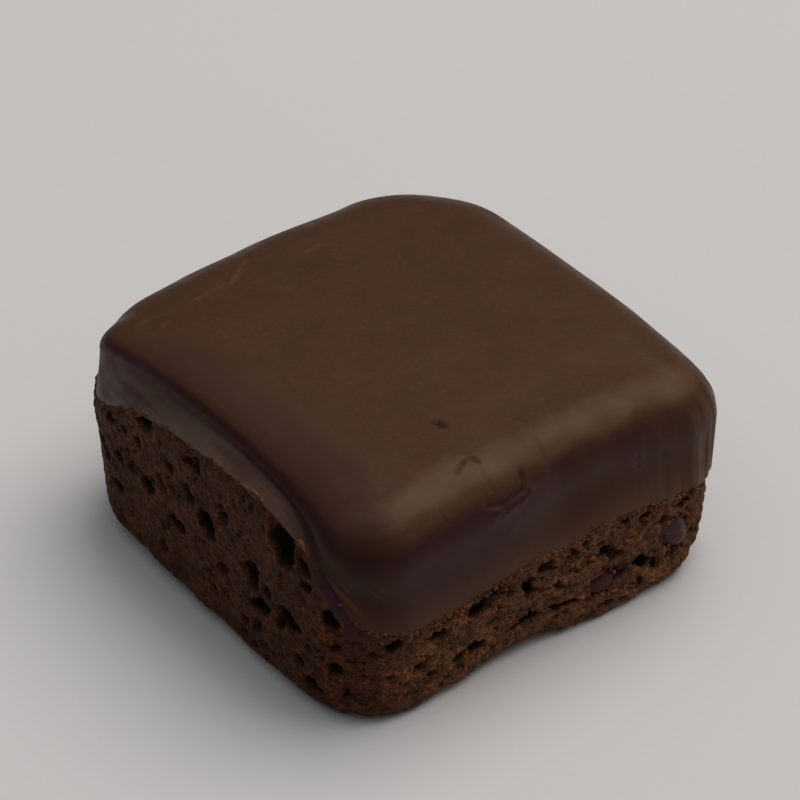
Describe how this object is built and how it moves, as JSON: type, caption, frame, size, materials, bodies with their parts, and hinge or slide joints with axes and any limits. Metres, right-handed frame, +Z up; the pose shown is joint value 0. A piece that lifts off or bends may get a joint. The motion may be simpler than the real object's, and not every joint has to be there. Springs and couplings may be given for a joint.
{
  "type": "brownie square",
  "caption": "Square of dark porous brownie under a thick smooth chocolate layer that drapes over three sides, with chocolate chips showing in the crumb.",
  "frame": {"origin": "middle of the underside of the whole, on the surface it rests on", "axes": "+Z up through the chocolate layer, -Y out of the coated side that shows the chips, -X out of the cut side"},
  "size_m": [0.06, 0.0612, 0.0292],
  "materials": {
    "crumb": "rough open crumb of dark chocolate cake",
    "chocolate_layer": "satin set chocolate",
    "chocolate_chip": "smooth dark chocolate"
  },
  "bodies": {
    "root": {"sponge": "crumb", "icing": "chocolate_layer", "chip_corner": "chocolate_chip", "chip_low": "chocolate_chip"}
  },
  "joints": []
}
